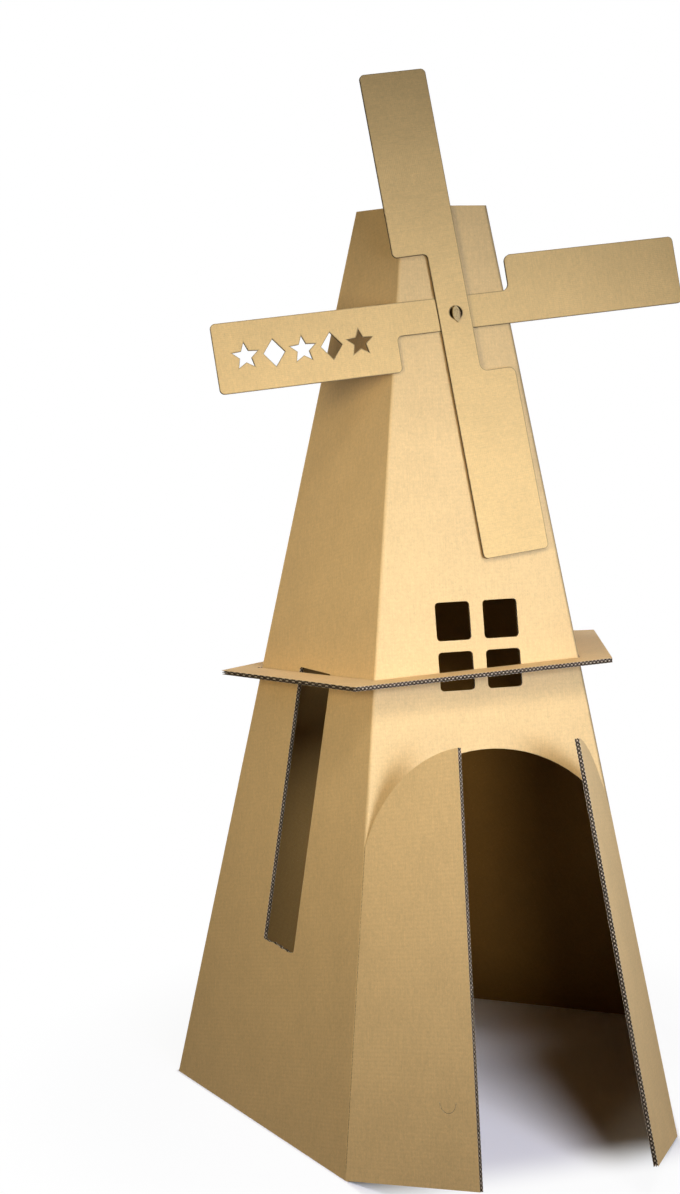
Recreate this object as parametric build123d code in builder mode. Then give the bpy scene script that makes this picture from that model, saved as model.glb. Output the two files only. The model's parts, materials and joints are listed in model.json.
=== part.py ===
from build123d import *
from math import atan, cos, degrees, hypot, radians, sin, tan
import os

# A child's windmill playhouse of folded corrugated board, with all sizes in millimetres.
# The origin is the middle of the tower's foot on the floor, +Z is up and the door faces -Y.

# Tower: one sheet of double-wall board, scored and folded into five leaning walls
sides = 5
base_side = 555.0
top_side = 141.0
tower_height = 1500.0
wall = 7.0
crease_radius = 5.5
glue_flap_width = 45.0
glue_flap_inset = 15.0
glue_flap_taper = 30.0

# Front wall: its cuts share one line, a little right of the middle between its creases
cut_line = 2.5

# Door: an arch in the front wall, cut down that line into two leaves folded outwards
arch_radius = 231.0
arch_centre = 415.5
leaf_edge_gap = 11.0
slit_slant = 3.0
left_leaf_open = 58.3
right_leaf_open = 60.8

# Thumb mark: a half moon pressed into the left leaf, near its foot
thumb_across = -60.0
thumb_up = 125.0
thumb_radius = 16.0
thumb_line = 0.8
thumb_depth = 0.6

# Window: four panes in the front wall, measured up the slope of that wall
pane_width = 58.0
pane_height = 62.0
pane_radius = 6.5
upright_bar = 22.0
level_bar = 18.0
window_centre = 813.5

# Slot in the left wall, with rounded upper corners and a torn lower end
slot_width = 97.0
slot_back = 3.5
slot_low = 295.5
slot_top = 760.0
slot_radius = 5.0
torn_depth = 5.0
torn_teeth = (0.0, 0.35, 0.15, 0.55, 0.3, 0.4, -0.15, 0.1, -0.25, 0.0, 0.45)

# Balcony: a loose ring of the same board, hung askew on the tower's taper
balcony_side = 428.0
balcony_height = 746.5
balcony_rise_front = 3.5
balcony_rise_right = 2.4
balcony_shift_x = -6.8
balcony_shift_y = 3.0
balcony_corner = 4.0
balcony_fit = 0.3
corner_nick = 5.0

# Sails: two bars of thin board, crossed in front of the front wall
sail_length = 800.0
sail_board = 4.0
neck_width = 54.0
blade_width = 112.0
blade_length = 300.0
sail_corner = 8.0
notch_radius = 12.0
hub_below_top = 177.0
front_bar_lean = 6.7
rear_bar_lean = 5.3

# Row of plain shapes cut through the left blade
motif_count = 5
motif_pitch = 47.0
motif_radius = 22.0
motif_from_tip = 143.0
star_points = 5
star_inner_share = 0.45
diamond_width_share = 0.8

# Hub: a card rivet in a round hole through the bars and the front wall
hub_hole = 22.0
turning_gap = 0.3
rivet_board = 4.0
rivet_play = 0.5
rivet_shank_width = 8.0
tongue_length = 28.0
tongue_width = 13.0
tongue_drop = 2.5
keeper_length = 64.0
keeper_width = 26.0
keeper_corner = 6.0

# Sizes that follow from the ones above
half_turn = 180.0 / sides
first_corner = 90.0
base_radius = base_side / 2 / sin(radians(half_turn))
top_radius = top_side / 2 / sin(radians(half_turn))
base_apothem = base_side / 2 / tan(radians(half_turn))
top_apothem = top_side / 2 / tan(radians(half_turn))
lean = degrees(atan((base_apothem - top_apothem) / tower_height))
slope_length = tower_height / cos(radians(lean))
level_wall = wall / cos(radians(lean))
cut_depth = 1.2 * wall
fold_back = 1.5 * wall
fold_overrun = 2 * wall
hub_height = slope_length - hub_below_top
motif_middle = sail_length / 2 - motif_from_tip
balcony_radius = balcony_side / 2 / sin(radians(half_turn))
rear_left, left, front, right, rear_right = range(sides)


def corner(number, height=0.0, spread=0.0):
    """A corner of the tower's section at a height, or of one wider all round by a spread."""
    share = height / tower_height
    radius = base_radius + (top_radius - base_radius) * share
    radius += spread / cos(radians(lean)) / cos(radians(half_turn))
    angle = radians(first_corner + 2 * half_turn * number)
    return Vector(radius * cos(angle), radius * sin(angle), height)


def wall_plane(number):
    """The outer face of a wall: X along its foot, Y up its slope, Z outwards."""
    low, high = corner(number), corner(number + 1)
    facing = radians(first_corner + 2 * half_turn * (number + 0.5))
    flat = cos(radians(lean))
    outwards = Vector(flat * cos(facing), flat * sin(facing), sin(radians(lean)))
    return Plane(origin=(low + high) / 2, x_dir=high - low, z_dir=outwards)


def swung(plane, axis, angle):
    """A plane turned about an axis."""
    arm = plane.origin - axis.position
    return Plane(
        origin=axis.position + arm.rotate(axis, angle),
        x_dir=plane.x_dir.rotate(axis, angle),
        z_dir=plane.z_dir.rotate(axis, angle),
    )


def wall_outline(mode=Mode.ADD):
    """The whole of one wall, flat."""
    Polygon(
        (-base_side / 2, 0),
        (base_side / 2, 0),
        (top_side / 2, slope_length),
        (-top_side / 2, slope_length),
        align=None,
        mode=mode,
    )


def doorway_outline():
    """The arched door, from crease to crease of the front wall."""
    with Locations((cut_line, arch_centre)):
        Circle(arch_radius)
        Rectangle(base_side, arch_centre, align=(Align.CENTER, Align.MAX))
    wall_outline(mode=Mode.INTERSECT)


def leaf_outline(side):
    """One door leaf as it was cut, on the left for side -1 and on the right for side 1."""
    doorway_outline()
    free_edge = cut_line + side * leaf_edge_gap
    arch_top = arch_centre + arch_radius
    Polygon(
        (free_edge + slit_slant, 0),
        (side * base_side, 0),
        (side * base_side, arch_top),
        (free_edge, arch_top),
        align=None,
        mode=Mode.INTERSECT,
    )


def slot_outline():
    """The long slot, with a row of torn teeth for its lower end."""
    half = slot_width / 2
    step = slot_width / (len(torn_teeth) - 1)
    torn = [(-half + n * step, slot_low + torn_depth * t) for n, t in enumerate(torn_teeth)]
    Polygon((half, slot_top), (-half, slot_top), *torn, align=None)


def fold_section(side, leaf_open):
    """The board's section across a door crease, from the side wall round to the leaf."""
    fold = 180 - wall_plane(front).z_dir.get_angle(wall_plane(left).z_dir)
    back = Vector(cos(radians(fold)), sin(radians(fold)))
    back_in = Vector(sin(radians(fold)), -cos(radians(fold)))
    leaf = Vector(cos(radians(leaf_open)), -sin(radians(leaf_open)))
    leaf_in = Vector(sin(radians(leaf_open)), cos(radians(leaf_open)))
    mitre = (back_in + leaf_in) * (wall / (1 + back_in.dot(leaf_in)))
    points = (
        back * fold_back,
        Vector(),
        leaf * wall,
        leaf * wall + leaf_in * wall,
        mitre,
        back * fold_back + back_in * wall,
    )
    Polygon(*[(p.X, -side * p.Y) for p in points], align=None)


def door_crease(side):
    """The line of the crease that a leaf is folded about."""
    number = front if side < 0 else front + 1
    return Axis(corner(number), corner(number, tower_height) - corner(number))


def leaf_plane(side, leaf_open):
    """The outer face of the front wall, turned outwards with one leaf."""
    return swung(wall_plane(front), door_crease(side), side * leaf_open)


def door_leaf(side, leaf_open):
    """A leaf folded outwards about its crease, with the board carried round the fold."""
    crease = door_crease(side)
    foot = crease.position
    with BuildSketch(leaf_plane(side, leaf_open)) as outline:
        leaf_outline(side)
    hinge = outline.edges().sort_by(Axis.X)[0 if side < 0 else -1]
    across = wall_plane(front).z_dir.cross(crease.direction) * side
    fold_plane = Plane(origin=foot, x_dir=across, z_dir=crease.direction)
    with BuildSketch(fold_plane.offset(-fold_overrun)) as fold:
        fold_section(side, leaf_open)
    extrude(fold.sketch, amount=fold_overrun + hinge.length)
    extrude(outline.sketch, amount=-wall)


def thumb_mark():
    """The half moon pressed into the left leaf's face."""
    with BuildSketch(leaf_plane(-1, left_leaf_open)) as moon:
        with Locations((thumb_across, thumb_up)):
            Circle(thumb_radius + thumb_line / 2)
            Circle(thumb_radius - thumb_line / 2, mode=Mode.SUBTRACT)
            Rectangle(
                3 * thumb_radius,
                3 * thumb_radius,
                align=(Align.CENTER, Align.MAX),
                mode=Mode.INTERSECT,
            )
    extrude(moon.sketch, amount=-thumb_depth, mode=Mode.SUBTRACT)


def glue_flap():
    """The end flap of the sheet, glued inside the rear left wall along the back crease."""
    inside = wall_plane(rear_left).offset(-wall)
    slant = (base_side - top_side) / 2 / slope_length
    low, high = glue_flap_inset, slope_length - glue_flap_inset
    far_low, far_high = low + glue_flap_taper, high - glue_flap_taper
    crease = -base_side / 2
    with BuildSketch(inside) as flap:
        Polygon(
            (crease + slant * low + wall, low),
            (crease + slant * far_low + glue_flap_width, far_low),
            (crease + slant * far_high + glue_flap_width, far_high),
            (crease + slant * high + wall, high),
            align=None,
        )
    extrude(flap.sketch, amount=-wall)


def hub_plane(outwards, turn):
    """The front wall's plane at the hub, out from its face and turned in itself."""
    face = wall_plane(front)
    hub = face.from_local_coords((cut_line, hub_height, outwards))
    upright = Plane(origin=hub, x_dir=face.x_dir, z_dir=face.z_dir)
    return swung(upright, Axis(hub, face.z_dir), turn)


# Tower
with BuildPart() as tower:
    with BuildSketch():
        RegularPolygon(base_radius, sides, rotation=first_corner)
    with BuildSketch(Plane.XY.offset(tower_height)):
        RegularPolygon(top_radius, sides, rotation=first_corner)
    loft()
    creases = tower.edges().filter_by(lambda e: abs(e.tangent_at(0).Z) > 0.5)
    fillet(creases, crease_radius)
    with BuildSketch():
        RegularPolygon(base_apothem - level_wall, sides, rotation=first_corner, major_radius=False)
    with BuildSketch(Plane.XY.offset(tower_height)):
        RegularPolygon(top_apothem - level_wall, sides, rotation=first_corner, major_radius=False)
    loft(mode=Mode.SUBTRACT)
    glue_flap()
    with BuildSketch(wall_plane(front)):
        doorway_outline()
        with Locations((cut_line, window_centre)):
            with GridLocations(pane_width + upright_bar, pane_height + level_bar, 2, 2):
                RectangleRounded(pane_width, pane_height, pane_radius)
        with Locations((cut_line, hub_height)):
            Circle(hub_hole / 2)
    extrude(amount=-cut_depth, mode=Mode.SUBTRACT)
    with BuildSketch(wall_plane(left)) as slot:
        with Locations((-slot_back, 0)):
            slot_outline()
        fillet(slot.vertices().group_by(Axis.Z)[-1], slot_radius)
    extrude(amount=-cut_depth, mode=Mode.SUBTRACT)
    door_leaf(-1, left_leaf_open)
    door_leaf(1, right_leaf_open)
    thumb_mark()
    split(bisect_by=Plane.XY, keep=Keep.TOP)

# Balcony
balcony_plane = Plane((balcony_shift_x, balcony_shift_y, balcony_height)).rotated(
    (-balcony_rise_front, -balcony_rise_right, 0)
)


def seat_corner(number):
    """Where a tower crease, with the ring's clearance added, meets the ring's lower face."""
    lower = balcony_plane.offset(-wall)
    foot = corner(number, 0, balcony_fit)
    rise = corner(number, tower_height, balcony_fit) - foot
    share = (lower.origin - foot).dot(lower.z_dir) / rise.dot(lower.z_dir)
    local = balcony_plane.to_local_coords(foot + rise * share)
    return (local.X, local.Y)


with BuildPart() as balcony:
    with BuildSketch(balcony_plane) as ring:
        RegularPolygon(balcony_radius, sides, rotation=first_corner)
        fillet(ring.vertices(), balcony_corner)
        Polygon(*[seat_corner(n) for n in range(sides)], align=None, mode=Mode.SUBTRACT)
        with Locations(seat_corner(left)):
            Circle(corner_nick, mode=Mode.SUBTRACT)
    extrude(amount=-wall)


def bar_middle(bar_plane):
    """The wall's own middle line at hub height, which both bars are centred on, in a bar's plane."""
    on_wall = wall_plane(front).from_local_coords((0, hub_height, 0))
    return bar_plane.to_local_coords(on_wall)


def sail_outline():
    """A bar with a blade at each end, both on the same hand seen from the hub."""
    Rectangle(neck_width, sail_length)
    reach = sail_length / 2 - blade_length / 2
    stagger = (blade_width - neck_width) / 2
    with Locations((-stagger, reach), (stagger, -reach)):
        Rectangle(blade_width, blade_length)


def round_sail_corners(sketch, middle):
    """Round the free corners, and the two notches, which are the ones nearest the hub."""
    near_first = sketch.vertices().sort_by(lambda v: (Vector(v) - middle).length)
    fillet(near_first[:2], notch_radius)
    far_last = sketch.vertices().sort_by(lambda v: (Vector(v) - middle).length)
    fillet(far_last[-6:], sail_corner)


def star(radius):
    """A star with its first point up, once the bar lies level."""
    points = []
    for step in range(2 * star_points):
        reach = radius if step % 2 == 0 else radius * star_inner_share
        turn = radians(step * 180 / star_points)
        points.append((reach * cos(turn), -reach * sin(turn)))
    Polygon(*points, align=None, mode=Mode.SUBTRACT)


def motif_row():
    """Stars and diamonds by turns, cut through one blade along its middle line."""
    blade_line = -(blade_width - neck_width) / 2
    for number in range(motif_count):
        along = motif_middle + (number - (motif_count - 1) / 2) * motif_pitch
        with Locations((blade_line, along)):
            if number % 2 == 0:
                star(motif_radius)
            else:
                half = motif_radius * diamond_width_share
                Polygon(
                    (-motif_radius, 0),
                    (0, -half),
                    (motif_radius, 0),
                    (0, half),
                    align=None,
                    mode=Mode.SUBTRACT,
                )


# Rear bar, lying level across the wall
rear_plane = hub_plane(turning_gap, 90 + rear_bar_lean)
with BuildPart() as sail_bar_rear:
    rear_middle = bar_middle(rear_plane)
    with BuildSketch(rear_plane) as rear_shape:
        with Locations((rear_middle.X, rear_middle.Y)):
            sail_outline()
        round_sail_corners(rear_shape, rear_plane.from_local_coords(rear_middle))
        with Locations((rear_middle.X, rear_middle.Y)):
            motif_row()
        Circle(hub_hole / 2, mode=Mode.SUBTRACT)
    extrude(amount=sail_board)

# Front bar, standing upright against the rear one
front_bar_out = turning_gap + sail_board
front_plane = hub_plane(front_bar_out, front_bar_lean)
with BuildPart() as sail_bar_front:
    front_middle = bar_middle(front_plane)
    with BuildSketch(front_plane) as front_shape:
        with Locations((front_middle.X, front_middle.Y)):
            sail_outline()
        round_sail_corners(front_shape, front_plane.from_local_coords(front_middle))
        Circle(hub_hole / 2, mode=Mode.SUBTRACT)
    extrude(amount=sail_board)

# Card rivet: a flat shank, a pointed tongue in front and a keeper behind the wall
tongue_out = front_bar_out + sail_board + turning_gap
shank_height = 2 * ((hub_hole / 2 - rivet_play) ** 2 - (rivet_shank_width / 2) ** 2) ** 0.5
with BuildPart() as hub_rivet:
    with BuildSketch(hub_plane(-wall - rivet_board, front_bar_lean)):
        RectangleRounded(keeper_length, keeper_width, keeper_corner)
    extrude(amount=rivet_board)
    with BuildSketch(hub_plane(-wall, front_bar_lean)):
        Rectangle(rivet_shank_width, shank_height)
    extrude(amount=wall + tongue_out)
    tip, bottom = (0, tongue_length / 2 - tongue_drop), (0, -tongue_length / 2 - tongue_drop)
    with BuildSketch(hub_plane(tongue_out, front_bar_lean)):
        with BuildLine():
            ThreePointArc(bottom, (tongue_width / 2, -tongue_drop), tip)
            ThreePointArc(tip, (-tongue_width / 2, -tongue_drop), bottom)
        make_face()
    extrude(amount=rivet_board)

tower.part.label = "tower"
balcony.part.label = "balcony"
sail_bar_rear.part.label = "sail_bar_rear"
sail_bar_front.part.label = "sail_bar_front"
hub_rivet.part.label = "hub_rivet"

os.makedirs("parts", exist_ok=True)
export_step(tower.part, "parts/tower.step")
export_step(balcony.part, "parts/balcony.step")
export_step(sail_bar_rear.part, "parts/sail_bar_rear.step")
export_step(sail_bar_front.part, "parts/sail_bar_front.step")
export_step(hub_rivet.part, "parts/hub_rivet.step")
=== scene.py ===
import json
import math

import bmesh
import bpy
import numpy as np
from mathutils import Matrix, Vector
from mathutils.bvhtree import BVHTree

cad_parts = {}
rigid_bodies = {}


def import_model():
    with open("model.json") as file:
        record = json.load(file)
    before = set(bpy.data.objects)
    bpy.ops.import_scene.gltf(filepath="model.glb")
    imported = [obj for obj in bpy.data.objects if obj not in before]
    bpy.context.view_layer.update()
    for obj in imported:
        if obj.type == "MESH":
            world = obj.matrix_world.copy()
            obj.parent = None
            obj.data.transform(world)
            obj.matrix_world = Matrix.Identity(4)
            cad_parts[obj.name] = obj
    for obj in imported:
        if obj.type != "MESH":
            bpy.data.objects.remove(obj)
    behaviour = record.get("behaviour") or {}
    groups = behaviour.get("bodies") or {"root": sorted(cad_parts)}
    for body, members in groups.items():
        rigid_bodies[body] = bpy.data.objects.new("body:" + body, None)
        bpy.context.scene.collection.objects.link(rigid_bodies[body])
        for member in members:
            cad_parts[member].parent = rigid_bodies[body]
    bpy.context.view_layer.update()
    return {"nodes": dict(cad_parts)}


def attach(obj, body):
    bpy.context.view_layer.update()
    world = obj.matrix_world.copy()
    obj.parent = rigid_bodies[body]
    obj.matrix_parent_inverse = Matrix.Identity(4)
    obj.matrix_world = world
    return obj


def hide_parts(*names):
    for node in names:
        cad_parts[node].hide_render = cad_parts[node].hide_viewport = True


for leftover in list(bpy.data.objects):
    bpy.data.objects.remove(leftover)
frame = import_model()


# Tower: one sheet of double-wall board, two rows of fluting glued between three plain liners.
# It was cut and scored flat, then folded into five leaning walls with both door leaves turned
# out of the front one. The flutes lie level across the front wall and follow each fold.
wall = 0.007
liner = 0.0005
middle_liner_depth = 0.0037
paper = 0.0006
flute_pitch = 0.0064
lines_per_flute = 6
recess = 0.0003
raggedness = (0.3, 1.7)
straight_ahead = Vector((0, -1, 0))
level_along_front = Vector((1, 0, 0))

least_wall_area = 0.03
least_face_area = 2e-4
weld_distance = 1e-6
flat_within = 2e-5
thickness_within = 1e-4
level_with = 0.9999
cut_square_to = 0.3
side_wall_ahead = 0.45

kraft = (0.665, 0.442, 0.186)
kraft_fleck = (0.20, 0.11, 0.045)
kraft_fibre = (0.86, 0.68, 0.40)
# The inside liner is painted darker and browner than the outside, as painted shade and brown bounce
# light of the tower's dim inside
shaded_inner_kraft = (0.33, 0.178, 0.045)
cut_paper = (0.60, 0.48, 0.34)
# Cut paper between the crests, painted dark as the shade of the hollows between the flutes
painted_hollow_shade = (0.10, 0.068, 0.04)
# Fluting paper: browner than the liners, and painted near black as the shade inside the board's hollows
shaded_fluting_paper = (0.045, 0.027, 0.014)
# How much the fold attribute darkens a liner, and its darkest value: painted shade on folds turned
# right and in a dent, and the darker rims of the sail bars
fold_darkens = 0.5
mark_darkness = 1.3
least_mark_depth = 0.0003

cloud_scale = (14.0, 14.0, 14.0)
pulp_scale = (160.0, 160.0, 160.0)
grain_scale = (420.0, 420.0, 420.0)
streak_scale = (28.0, 520.0, 1.0)
hair_scale = (240.0, 1900.0, 1.0)
bark_scale = (420.0, 1100.0, 1.0)
pale_fibre_scale = (300.0, 1500.0, 1.0)
raw_pulp_scale = (300.0, 300.0, 300.0)
speck_scale = (1100.0, 1100.0, 1100.0)
edge_pulp_scale = (260.0, 260.0, 260.0)

liner_relief = 0.0005
raw_relief = 0.0001
raw_roughness = 0.9
liner_gloss = 0.4
raw_gloss = 0.2
inside_gloss = 0.1
wall_washboard = 0.014

# Places of a board's finishes: its two skins, the cut ends of each, and the fluting between
outer_skin, inner_skin, cut_end, _, fluting = range(5)


class Wire:
    """A socket of a finish that can be used in plain sums; a sum on it adds a Math node."""

    def __init__(self, finish, socket):
        self.finish = finish
        self.socket = socket

    def __add__(self, other):
        return self.finish.reckon("ADD", self, other)

    def __sub__(self, other):
        return self.finish.reckon("SUBTRACT", self, other)

    def __rsub__(self, other):
        return self.finish.reckon("SUBTRACT", other, self)

    def __mul__(self, other):
        return self.finish.reckon("MULTIPLY", self, other)

    __radd__ = __add__
    __rmul__ = __mul__


class Finish:
    """The nodes of one material, or of the studio's surroundings."""

    def __init__(self, owner):
        self.owner = owner
        owner.use_nodes = True
        self.tree = owner.node_tree
        self.tree.nodes.clear()

    def add(self, kind, settings, sockets, output=0):
        """Any node: its settings first, then the values or links of its sockets."""
        node = self.tree.nodes.new("ShaderNode" + kind)
        for key, value in settings.items():
            setattr(node, key, value)
        for key, value in sockets.items():
            if isinstance(value, Wire):
                self.tree.links.new(value.socket, node.inputs[key])
            elif isinstance(value, tuple) and node.inputs[key].type == "RGBA":
                node.inputs[key].default_value = (*value, 1)
            else:
                node.inputs[key].default_value = value
        return Wire(self, node.outputs[output]) if node.outputs else None

    def reckon(self, operation, *values):
        """A Math node on values in their order."""
        return self.add("Math", {"operation": operation}, dict(enumerate(values)))

    def spot(self):
        """Where a point of the surface is on the standing piece, in metres."""
        return self.add("TexCoord", {}, {}, output="Object")

    def in_sheet(self):
        """Where that point was in the flat sheet: across and along the flutes, and how deep."""
        return self.add("Attribute", {"attribute_name": "sheet"}, {}, output="Vector")

    def way(self, where, letter):
        """One of the three distances of a place."""
        return self.add("SeparateXYZ", {}, {0: where}, output=letter)

    def noise(self, where, scale, detail=2.0, roughness=0.5):
        """Cloudy noise from 0 to 1; its scale says how many clouds there are to a metre each way."""
        spread = self.add("VectorMath", {"operation": "MULTIPLY"}, {0: where, 1: scale})
        sockets = {"Vector": spread, "Scale": 1.0, "Detail": detail, "Roughness": roughness}
        return self.add("TexNoise", {}, sockets)

    def step(self, value, low, high):
        """0 below low and 1 above high, with a smooth rise between."""
        settings = {"interpolation_type": "SMOOTHSTEP"}
        return self.add("MapRange", settings, {"Value": value, "From Min": low, "From Max": high})

    def blend(self, share, first, second, how="MIX"):
        """Two colours mixed by a share."""
        settings = {"data_type": "RGBA", "blend_type": how}
        return self.add("Mix", settings, {0: share, 6: first, 7: second}, output=2)

    def lit(self, colour, light):
        """A colour made lighter or darker by a number that changes over the surface."""
        grey = self.add("CombineXYZ", {}, {0: light, 1: light, 2: light})
        return self.blend(1.0, colour, grey, "MULTIPLY")

    def shine(self, colour, roughness, relief, depth, gloss):
        """The surface itself, with a relief whose full height is a depth in metres."""
        bump = self.add("Bump", {}, {"Strength": 1.0, "Distance": depth, "Height": relief})
        look = {"Base Color": colour, "Roughness": roughness, "Normal": bump}
        surface = self.add("BsdfPrincipled", {}, look | {"Specular IOR Level": gloss})
        self.add("OutputMaterial", {}, {"Surface": surface})
        return self.owner


def mottled(middle, *marks):
    """A middle value, raised and lowered by noises, each given with its strength."""
    for noise, strength in marks:
        middle = middle + strength * (noise - 0.5)
    return middle


def kraft_liner(name, tone, pitch, washboard, gloss=liner_gloss):
    """Kraft liner: cloudy pulp, fibre streaks, bark flecks, and the flutes faintly showing through."""
    finish = Finish(bpy.data.materials.new(name))
    spot = finish.spot()
    sheet = finish.in_sheet()
    clouds = finish.noise(spot, cloud_scale, 3.0)
    pulp = finish.noise(spot, pulp_scale, 3.0, 0.6)
    grain = finish.noise(spot, grain_scale)
    streaks = finish.noise(sheet, streak_scale, 3.0, 0.6)
    hairs = finish.noise(sheet, hair_scale)
    wave = finish.reckon("SINE", finish.way(sheet, "X") * (2 * math.pi / pitch))
    flute_lines = wave * (0.35 + 0.65 * finish.step(clouds, 0.35, 0.7))
    light = mottled(
        1.0 + washboard * flute_lines,
        (clouds, 0.16), (pulp, 0.26), (streaks, 0.26), (grain, 0.24), (hairs, 0.18),
    )
    # The fold attribute darkens the liner: painted shade on folds turned to the right and on a dent's
    # floor, and the darker rims of the sail bars.
    fold = finish.add("Attribute", {"attribute_name": "fold"}, {}, output="Fac")
    colour = finish.lit(tone, light * (1.0 - fold_darkens * fold))
    bark = finish.step(finish.noise(sheet, bark_scale, 1.0), 0.70, 0.78)
    pale = finish.step(finish.noise(sheet, pale_fibre_scale, 1.0), 0.68, 0.80)
    colour = finish.blend(0.5 * bark, colour, kraft_fleck)
    colour = finish.blend(0.35 * pale, colour, kraft_fibre)
    relief = mottled(0.5 + 0.07 * flute_lines, (streaks, 0.35), (hairs, 0.3), (pulp, 0.5))
    return finish.shine(colour, mottled(0.78, (pulp, 0.15)), relief, liner_relief, gloss)


def bare_paper(name, tone):
    """Unbleached paper, rougher than the liners, with pale specks. The fluting's tone is browner paper,
    darkened further by painted shade of the hollows inside the board.
    """
    finish = Finish(bpy.data.materials.new(name))
    spot = finish.spot()
    pulp = finish.noise(spot, raw_pulp_scale, 3.0, 0.6)
    specks = finish.step(finish.noise(spot, speck_scale), 0.6, 0.75)
    colour = finish.blend(0.5 * specks, finish.lit(tone, mottled(1.0, (pulp, 0.5))), kraft_fibre)
    return finish.shine(colour, raw_roughness, pulp, raw_relief, raw_gloss)


def cut_edge(name):
    """Cut papers of double-wall board: pale where a crest is glued to a liner, and between the crests
    painted dark, as the shade in the hollows between the flutes.
    """
    finish = Finish(bpy.data.materials.new(name))
    sheet = finish.in_sheet()
    pulp = finish.noise(finish.spot(), edge_pulp_scale, 3.0, 0.6)
    turn = mottled(finish.way(sheet, "X") * (2 * math.pi / flute_pitch), (pulp, 1.2))
    depth = finish.way(sheet, "Z")
    second_row = finish.step(depth, 0.6 * middle_liner_depth, 0.75 * middle_liner_depth)
    crest = finish.reckon("COSINE", turn) * (1.0 - 2.0 * second_row)
    # Away from the crests the cut edge is painted dark: painted shade of the hollows between the
    # flutes.
    colour = finish.blend(finish.step(crest, -0.1, 0.6), painted_hollow_shade, cut_paper)
    colour = finish.lit(colour, mottled(1.0, (pulp, 0.5)))
    return finish.shine(colour, raw_roughness, pulp, raw_relief, raw_gloss)


def welded(node):
    """A CAD piece's faces in a new mesh, with its split corners joined again."""
    board = bmesh.new()
    board.from_mesh(frame["nodes"][node].data)
    bmesh.ops.remove_doubles(board, verts=board.verts, dist=weld_distance)
    for layer in list(board.loops.layers.uv.values()):
        board.loops.layers.uv.remove(layer)
    return board


class Side:
    """One flat side of a board: its faces, which way it looks and how its flutes lie."""

    def __init__(self, face):
        self.normal = face.normal.copy()
        self.offset = self.normal.dot(face.verts[0].co)
        self.faces = []
        self.darkened_corners = set()
        self.faces_out = True

    def lay_flutes(self, along, facing):
        """Gives the side the direction of its flutes, and the one square to them in the sheet."""
        self.along = along
        self.across = facing.cross(along)

    def holds(self, face):
        """Whether a face lies in this side and looks the same way."""
        heights = (abs(self.normal.dot(v.co) - self.offset) for v in face.verts)
        return self.normal.dot(face.normal) > 0.5 and max(heights) < flat_within

    def area(self):
        return sum(face.calc_area() for face in self.faces)

    def in_sheet(self, spot):
        """A spot across and along the flutes, and how deep it is in the board."""
        return self.across.dot(spot), self.along.dot(spot), self.offset - self.normal.dot(spot)


def flat_sides(board, least_area):
    """The board's large flat sides, largest first."""
    sides = []
    for face in sorted(board.faces, key=lambda f: -f.calc_area()):
        home = next((side for side in sides if side.holds(face)), None)
        if home is None and face.calc_area() > least_face_area:
            home = Side(face)
            sides.append(home)
        if home is not None:
            home.faces.append(face)
    return sorted((s for s in sides if s.area() > least_area), key=lambda s: -s.area())


def outline(side):
    """The edges all round a flat side and round its holes."""
    inside = set(side.faces)
    edges = dict.fromkeys(edge for face in side.faces for edge in face.edges)
    return [edge for edge in edges if sum(face in inside for face in edge.link_faces) == 1]


def scan(side, step):
    """Even lines over a side, each with the spans of it that lie on the board, along the flutes."""
    ends = [[(side.across.dot(v.co), side.along.dot(v.co)) for v in e.verts] for e in outline(side)]
    ends = np.array(ends)
    first, last = ends[:, 0], ends[:, 1]
    lines = []
    for place in np.arange(ends[:, :, 0].min() + step / 2, ends[:, :, 0].max(), step):
        hit = (first[:, 0] <= place) != (last[:, 0] <= place)
        share = (place - first[hit, 0]) / (last[hit, 0] - first[hit, 0])
        crossings = np.sort(first[hit, 1] + share * (last[hit, 1] - first[hit, 1]))
        lines.append((place, crossings[: len(crossings) // 2 * 2].reshape(-1, 2)))
    return lines


class Cut:
    """One scan line's piece of fluting: its start and end along the flute, and its ring of corners."""

    def __init__(self, start, end, ring):
        self.start = start
        self.end = end
        self.ring = ring
        self.begins = False

    def follows(self, old):
        """Whether this cut carries on the run of an earlier one."""
        shared = min(self.end, old.end) - max(self.start, old.start)
        return shared > 0.8 * max(self.end - self.start, old.end - old.start)

    def close(self, board):
        """The last cut of a run gets its end face; one that joined no other is dropped."""
        if self.begins:
            for corner in self.ring:
                board.verts.remove(corner)
        else:
            board.faces.new(self.ring[::-1]).material_index = fluting


def flute_row(board, side, top, height, pitch, phase):
    """One row of fluting under a side: waved paper, cut off raggedly just inside the board's edges."""
    base = side.normal * side.offset
    ragged = np.random.default_rng(round(1e6 * (pitch + top + abs(side.offset))))
    earlier = []
    for place, spans in scan(side, pitch / lines_per_flute):
        wave = (1 - math.cos(2 * math.pi * place / pitch + phase)) / 2
        depth = top + paper / 2 + (height - paper) * wave
        row = []
        for start, end in spans:
            start += recess * ragged.uniform(*raggedness)
            end -= recess * ragged.uniform(*raggedness)
            if end - start < recess:
                continue
            ring = []
            for along, lift in ((start, -1), (start, 1), (end, 1), (end, -1)):
                spot = base + side.across * place + side.along * along
                ring.append(board.verts.new(spot - side.normal * (depth + lift * paper / 2)))
            row.append(Cut(start, end, ring))
        for cut in row:
            old = next((o for o in earlier if cut.follows(o)), None)
            if old is None:
                cut.begins = True
                board.faces.new(cut.ring).material_index = fluting
                continue
            earlier.remove(old)
            for n, look in enumerate((fluting, cut_end, fluting, cut_end)):
                around = (old.ring[n - 1], old.ring[n], cut.ring[n], cut.ring[n - 1])
                board.faces.new(around).material_index = look
        for old in earlier:
            old.close(board)
        earlier = row
    for old in earlier:
        old.close(board)


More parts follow.
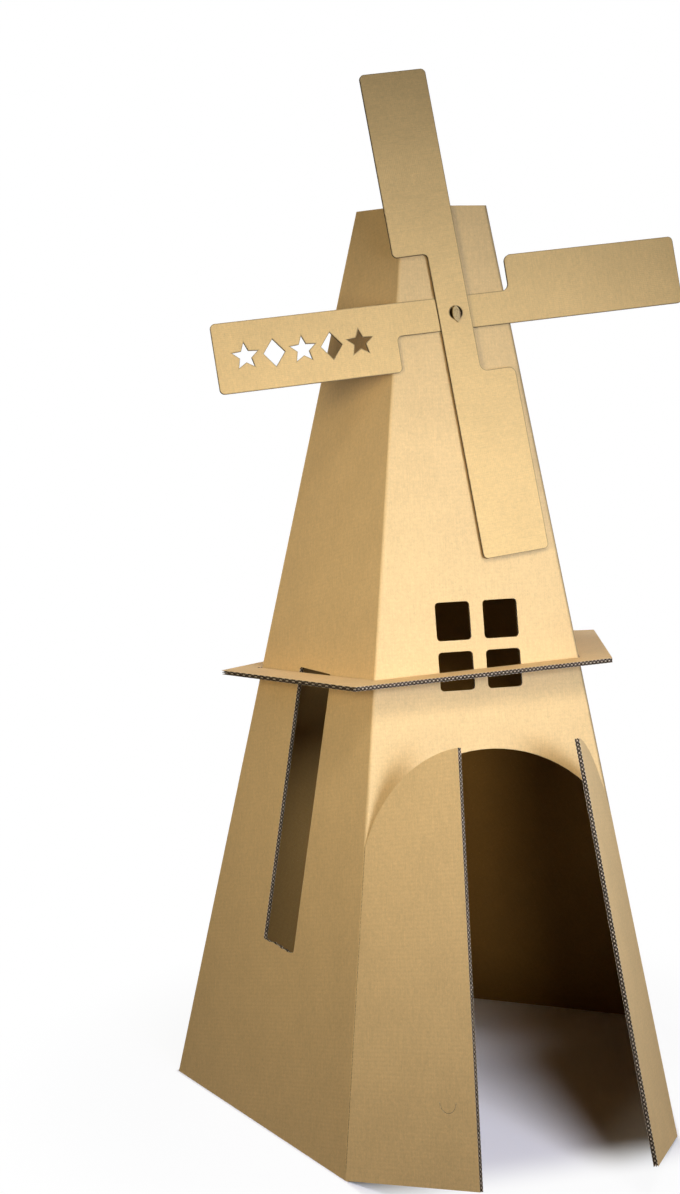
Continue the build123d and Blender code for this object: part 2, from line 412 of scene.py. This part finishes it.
def middle_liner(board, side, depth):
    """The plain paper between two rows of fluting, as large as the side and a little below it."""
    made = {}
    for lift in (0, paper):
        for face in side.faces:
            for v in face.verts:
                if (v.index, lift) not in made:
                    made[v.index, lift] = board.verts.new(v.co - side.normal * (depth + lift))
            around = [made[v.index, lift] for v in face.verts]
            skin = board.faces.new(around if lift == 0 else list(reversed(around)))
            skin.material_index = fluting
    for edge in outline(side):
        a, b = (v.index for v in edge.verts)
        rim = board.faces.new((made[a, 0], made[b, 0], made[b, paper], made[a, paper]))
        rim.material_index = cut_end


def darken_rim(board, sides, width):
    """Sets off the strip along a side's cut edges, which is painted darker."""
    for side in sides:
        edging = bmesh.ops.inset_region(
            board, faces=side.faces, thickness=width, use_boundary=True, use_even_offset=True
        )
        side.faces.extend(edging["faces"])
        side.darkened_corners = {v for edge in outline(side) for v in edge.verts}


def painted_fold_and_dent_shade(face, side):
    """How dark a face off the flat sides is painted, as shade: darkest on the floor of a dent sunk
    below its side, then on the folds turned to the right, where the light falls off.
    """
    depth = side.in_sheet(face.calc_center_median())[2]
    if abs(face.normal.dot(side.normal)) > level_with:
        return mark_darkness if depth > least_mark_depth else 0.0
    return min(1.0, max(0.0, 2 * face.normal.x))


def paper_skins(name, board, sides, thickness, finishes):
    """The liners: the board's faces without its cut edges, given the thickness of paper inwards."""
    plain = [face for side in sides for face in side.faces]
    corners = [v.co for face in plain for v in face.verts]
    tree = BVHTree.FromPolygons(corners, [(3 * n, 3 * n + 1, 3 * n + 2) for n in range(len(plain))])
    owner = {face: side for side in sides for face in side.faces}
    order = [owner[face] for face in plain]
    cut = []
    for face in board.faces:
        _, _, nearest, _ = tree.find_nearest(face.calc_center_median())
        if face not in owner and abs(face.normal.dot(order[nearest].normal)) < cut_square_to:
            cut.append(face)
        owner.setdefault(face, order[nearest])
    sheet = board.loops.layers.float_vector.new("sheet")
    fold = board.loops.layers.float.new("fold")
    flat = set(plain)
    for face, side in owner.items():
        for loop in face.loops:
            spot = loop.vert.co
            loop[sheet] = side.in_sheet(spot)
            # Fold and dent faces get painted shade; corners on a sail bar's rim are painted darker.
            if face not in flat:
                loop[fold] = painted_fold_and_dent_shade(face, side)
            elif loop.vert in side.darkened_corners:
                loop[fold] = mark_darkness
    for edge in board.edges:
        folded = edge.is_manifold and owner[edge.link_faces[0]] != owner[edge.link_faces[1]]
        edge.smooth = not (folded and all(face in flat for face in edge.link_faces))
    for face, side in owner.items():
        face.material_index = outer_skin if side.faces_out else inner_skin
    bmesh.ops.delete(board, geom=cut, context="FACES")
    mesh = bpy.data.meshes.new(name)
    for finish in finishes:
        mesh.materials.append(finish)
    board.to_mesh(mesh)
    piece = bpy.data.objects.new(name, mesh)
    bpy.context.scene.collection.objects.link(piece)
    shell = piece.modifiers.new("liner", "SOLIDIFY")
    shell.thickness = thickness
    shell.offset = -1
    shell.material_offset = fluting
    shell.material_offset_rim = cut_end
    return piece


def built_board(name, node, body, sides, board, rows, finishes, thickness=liner):
    """A whole board from its CAD solid: liners outside, rows of fluting and the liner between."""
    inner = bmesh.new()
    inner_sheet = inner.loops.layers.float_vector.new("sheet")
    board.verts.index_update()
    board_thickness = rows[-1][0] + rows[-1][1] + thickness
    filled = []
    for side in sides:
        backs = (s for s in filled if s.normal.dot(side.normal) < -level_with)
        if any(abs(s.offset + side.offset - board_thickness) < thickness_within for s in backs):
            continue
        filled.append(side)
        made_before = len(inner.faces)
        for top, height, pitch, phase in rows:
            flute_row(inner, side, top, height, pitch, phase)
            if top > thickness:
                middle_liner(inner, side, top - paper)
        inner.faces.ensure_lookup_table()
        for face in inner.faces[made_before:]:
            for loop in face.loops:
                loop[inner_sheet] = side.in_sheet(loop.vert.co)
    bmesh.ops.recalc_face_normals(inner, faces=inner.faces)
    piece = paper_skins(name, board, sides, thickness, finishes)
    skins = piece.evaluated_get(bpy.context.evaluated_depsgraph_get()).to_mesh()
    whole = bmesh.new()
    whole.from_mesh(skins)
    filling = bpy.data.meshes.new(name + "_fluting")
    inner.to_mesh(filling)
    whole.from_mesh(filling)
    # Papers set square into a leaning wall would dip under its foot, so they end level with it.
    foot = min(v.co.z for v in board.verts)
    for v in whole.verts:
        v.co.z = max(v.co.z, foot)
    piece.modifiers.clear()
    piece.data = bpy.data.meshes.new(name)
    whole.to_mesh(piece.data)
    for finish in finishes:
        piece.data.materials.append(finish)
    weight = piece.modifiers.new("flat_sides_stay_flat", "WEIGHTED_NORMAL")
    weight.keep_sharp = True
    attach(piece, body)
    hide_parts(node)
    return piece


def carried(along, *normals):
    """A direction in the flat sheet, carried round its folds from one side's normal to the next."""
    for earlier, later in zip(normals, normals[1:]):
        along = earlier.rotation_difference(later) @ along
    return along


tower_board = welded("tower")
tower_sides = flat_sides(tower_board, least_wall_area)
outward = [s for s in tower_sides if s.normal.z > 0]
front_normal = max((s.normal for s in outward), key=lambda n: n.dot(straight_ahead))
for side in tower_sides:
    out = side.normal if side.normal.z > 0 else -side.normal
    route = [front_normal, out]
    if out.dot(straight_ahead) < 0:
        same_hand = [s.normal for s in outward if s.normal.x * out.x > 0]
        between = [n for n in same_hand if abs(n.y) < side_wall_ahead]
        route = [front_normal, max(between, key=lambda n: n.dot(out)), out]
    side.lay_flutes(carried(level_along_front, *route), out)
    side.faces_out = side.normal.z > 0

double_wall_rows = (
    (liner, middle_liner_depth - liner - paper, flute_pitch, 0.0),
    (middle_liner_depth, wall - liner - middle_liner_depth, flute_pitch, math.pi),
)
wall_liner = kraft_liner("kraft_liner_heavy", kraft, flute_pitch, wall_washboard)
# The inside liner's tone carries painted shade of the dim inside of the tower.
inside_liner = kraft_liner("kraft_liner_inside", shaded_inner_kraft, flute_pitch, wall_washboard, inside_gloss)
liner_edge = cut_edge("liner_cut_edge")
wall_fluting = bare_paper("fluting_heavy", shaded_fluting_paper)
built_board(
    "tower_sheet", "tower", "tower",
    tower_sides, tower_board, double_wall_rows,
    (wall_liner, inside_liner, liner_edge, liner_edge, wall_fluting),
)


# Balcony: a five-sided ring cut from the same double-wall board and slipped over the tower,
# where it hangs a little askew on the taper. Its flutes run from front to back.
balcony_board = welded("balcony")
balcony_sides = flat_sides(balcony_board, least_wall_area)
for side in balcony_sides:
    along = (straight_ahead - side.normal * straight_ahead.dot(side.normal)).normalized()
    side.lay_flutes(along, side.normal)
built_board(
    "balcony_ring", "balcony", "tower",
    balcony_sides, balcony_board, double_wall_rows,
    (wall_liner, wall_liner, liner_edge, liner_edge, wall_fluting),
)


# Sail bars: two bars die cut from single-wall board, their flutes running along them for
# stiffness. The level one lies against the wall and carries the row of cut-out shapes.
sail_board = 0.004
thin_liner = 0.0004
sail_flute_pitch = 0.0064
least_bar_area = 0.02
sail_kraft = (0.67, 0.44, 0.17)
# Dark brown cut edges: partly the edge's own brown, partly painted shade of the flute holes
sail_edge = (0.09, 0.05, 0.02)
# Width of the strip along the bars' cut edges that is painted darker
darkened_rim_width = 0.0016
sail_washboard = 0.03
sail_rows = ((thin_liner, sail_board - 2 * thin_liner, sail_flute_pitch, 0.0),)
sail_liner = kraft_liner("kraft_liner_light", sail_kraft, sail_flute_pitch / 2, sail_washboard)
sail_rim = bare_paper("sail_cut_edge", sail_edge)
sail_fluting = bare_paper("fluting_light", shaded_fluting_paper)
for node in ("sail_bar_rear", "sail_bar_front"):
    bar = welded(node)
    bar_sides = flat_sides(bar, least_bar_area)
    longest = max(outline(bar_sides[0]), key=lambda e: e.calc_length())
    run = (longest.verts[1].co - longest.verts[0].co).normalized()
    for side in bar_sides:
        side.lay_flutes(run, side.normal)
    darken_rim(bar, bar_sides, darkened_rim_width)
    built_board(
        node + "_board", node, "sails",
        bar_sides, bar, sail_rows,
        (sail_liner, sail_liner, sail_rim, sail_rim, sail_fluting),
        thin_liner,
    )


# Hub rivet: a folded scrap of the thin board. Its tongue was pushed through the round hole
# from behind and turned, and its keeper stays behind the wall.
rivet_card = (0.50, 0.36, 0.165)
# Painted shade for the tongue's face past the fold
rivet_painted_shade = (0.19, 0.12, 0.06)
rivet_fold = 0.0065
rivet_fold_width = 0.0015
rivet_pulp_scale = (400.0, 400.0, 400.0)
rivet_relief = 0.0003
rivet = frame["nodes"]["hub_rivet"]
rivet_finish = Finish(bpy.data.materials.new("rivet_card"))
spot = rivet_finish.spot()
pulp = rivet_finish.noise(spot, rivet_pulp_scale, 3.0, 0.6)
# Right of the fold line the tongue is painted in shade, for its face turned away from the light.
rightward = rivet_finish.way(spot, "X")
painted_shade_side = rivet_finish.step(rightward, rivet_fold, rivet_fold + rivet_fold_width)
card = rivet_finish.blend(painted_shade_side, rivet_card, rivet_painted_shade)
card = rivet_finish.blend(0.6 * rivet_finish.step(pulp, 0.45, 0.7), card, kraft_fleck)
rivet_finish.shine(card, raw_roughness, pulp, rivet_relief, raw_gloss)
for place in rivet.material_slots:
    place.material = rivet_finish.owner


# Studio: a pale floor that keeps the shadow under the playhouse, with soft lamps round it. Outside
# the walls the floor glows white, but only to the camera and in reflections, and inside the
# doorway it shows its shadow.
floor_half = 14.0
floor_drop = 0.0002
floor_seen = (0.93, 0.93, 1.0)
floor_lit = (0.42, 0.42, 0.42)
glow_at_foot = 0.93
glow_rises_from = 0.45
glow_full_from = 0.85
wall_feet = 5
foot_apothem = 0.3819
foot_dark = foot_apothem - 0.002
foot_white = foot_apothem + 0.006
doorway_dark = 0.36
doorway_white = 0.50


def seen_ray(finish):
    """1 for rays that show the studio to the camera, straight or by a shiny or clear surface."""
    seen = [
        finish.add("LightPath", {}, {}, output=kind)
        for kind in ("Is Camera Ray", "Is Glossy Ray", "Is Transmission Ray")
    ]
    return finish.reckon("MAXIMUM", seen[0], finish.reckon("MAXIMUM", seen[1], seen[2]))


floor_finish = Finish(bpy.data.materials.new("studio_floor"))
ray = seen_ray(floor_finish)
spot = floor_finish.spot()
outside = 0.0
for foot in range(wall_feet):
    azimuth = 2 * math.pi / wall_feet * foot
    towards = (math.sin(azimuth), -math.cos(azimuth), 0.0)
    dot = {"operation": "DOT_PRODUCT"}
    reach = floor_finish.add("VectorMath", dot, {0: spot, 1: towards}, output="Value")
    edge = (doorway_dark, doorway_white) if foot == 0 else (foot_dark, foot_white)
    outside = floor_finish.reckon("MAXIMUM", floor_finish.step(reach, *edge), outside)
away = floor_finish.add("VectorMath", {"operation": "LENGTH"}, {0: spot}, output="Value")
rise = floor_finish.step(away, glow_rises_from, glow_full_from)
glow = glow_at_foot + (1 - glow_at_foot) * rise
paint = floor_finish.blend(ray, floor_lit, floor_seen)
paint = floor_finish.add("BsdfDiffuse", {}, {"Color": paint})
white = floor_finish.add("Emission", {}, {"Color": (1.0, 1.0, 1.0)})
both = floor_finish.add("MixShader", {}, {0: ray * outside * glow, 1: paint, 2: white})
floor_finish.add("OutputMaterial", {}, {"Surface": both})
floor_mesh = bpy.data.meshes.new("studio_floor")
floor_mesh.from_pydata(
    [(x * floor_half, y * floor_half, -floor_drop) for x, y in ((-1, -1), (1, -1), (1, 1), (-1, 1))],
    [],
    [(0, 1, 2, 3)],
)
floor_mesh.materials.append(floor_finish.owner)
floor = bpy.data.objects.new("studio_floor", floor_mesh)
bpy.context.scene.collection.objects.link(floor)


lamp_side = 0.8
lamp_spread = math.radians(60)
warm_light = (1.0, 0.95, 0.88)


def lamp(name, azimuth, height, aim, power, colour, distance=2.4):
    """A soft box lamp with a grid, round from the door by an azimuth and turned to a point."""
    light = bpy.data.lights.new(name, "AREA")
    light.shape = "SQUARE"
    light.size = lamp_side
    light.spread = lamp_spread
    light.energy = power
    light.color = colour
    holder = bpy.data.objects.new(name, light)
    turn = math.radians(azimuth)
    place = Vector((distance * math.sin(turn), -distance * math.cos(turn), height))
    holder.location = place
    holder.rotation_mode = "QUATERNION"
    holder.rotation_quaternion = (Vector(aim) - place).to_track_quat("-Z", "Y")
    bpy.context.scene.collection.objects.link(holder)


lamp("front_lamp", azimuth=10, height=1.2, aim=(-0.2, 0, 0.78), power=8.0, colour=(0.60, 0.715, 1.0))
lamp("left_lamp", azimuth=-50, height=1.3, aim=(-0.2, 0, 0.9), power=3.4, colour=(1.0, 0.91, 0.69))
lamp(
    "high_lamp", azimuth=5, height=2.6, distance=1.9,
    aim=(0, -0.4, 0), power=5.6, colour=(1.0, 0.95, 0.91),
)
lamp("right_lamp", azimuth=150, height=0.7, aim=(0, 0, 0.8), power=3.2, colour=warm_light)
lamp("back_lamp", azimuth=200, height=1.3, aim=(0, 0, 0.8), power=4.5, colour=warm_light)

faint = 0.01
world = bpy.data.worlds.new("studio")
bpy.context.scene.world = world
surroundings = Finish(world)
brightness = surroundings.blend(seen_ray(surroundings), (faint, faint, faint), (1.0, 1.0, 1.0))
sky = surroundings.add("Background", {}, {"Color": brightness, "Strength": 1.0})
surroundings.add("OutputWorld", {}, {"Surface": sky})


# Camera: where the photograph was taken from, a little left of the door and below the hub.
picture_height_px = 1194
focal_length_px = 1905.04
camera_place = (-0.95435, -3.09749, 1.28613)
camera_yaw = 0.2491
camera_pitch = 0.1334
camera_roll = -0.0242
sensor_mm = 36
farthest_seen = 60
look = Vector(
    (
        math.sin(camera_yaw) * math.cos(camera_pitch),
        math.cos(camera_yaw) * math.cos(camera_pitch),
        -math.sin(camera_pitch),
    )
)
level_right = Vector((math.cos(camera_yaw), -math.sin(camera_yaw), 0))
level_up = level_right.cross(look)
right = level_right * math.cos(camera_roll) + level_up * math.sin(camera_roll)
up = right.cross(look)
camera_data = bpy.data.cameras.new("camera")
camera_data.sensor_width = sensor_mm
camera_data.lens = focal_length_px * camera_data.sensor_width / picture_height_px
camera_data.clip_end = farthest_seen
camera = bpy.data.objects.new("camera", camera_data)
turned = Matrix((right, up, -look)).transposed().to_4x4()
camera.matrix_world = Matrix.Translation(camera_place) @ turned
bpy.context.scene.collection.objects.link(camera)
bpy.context.scene.camera = camera
bpy.context.scene.view_settings.view_transform = "Standard"
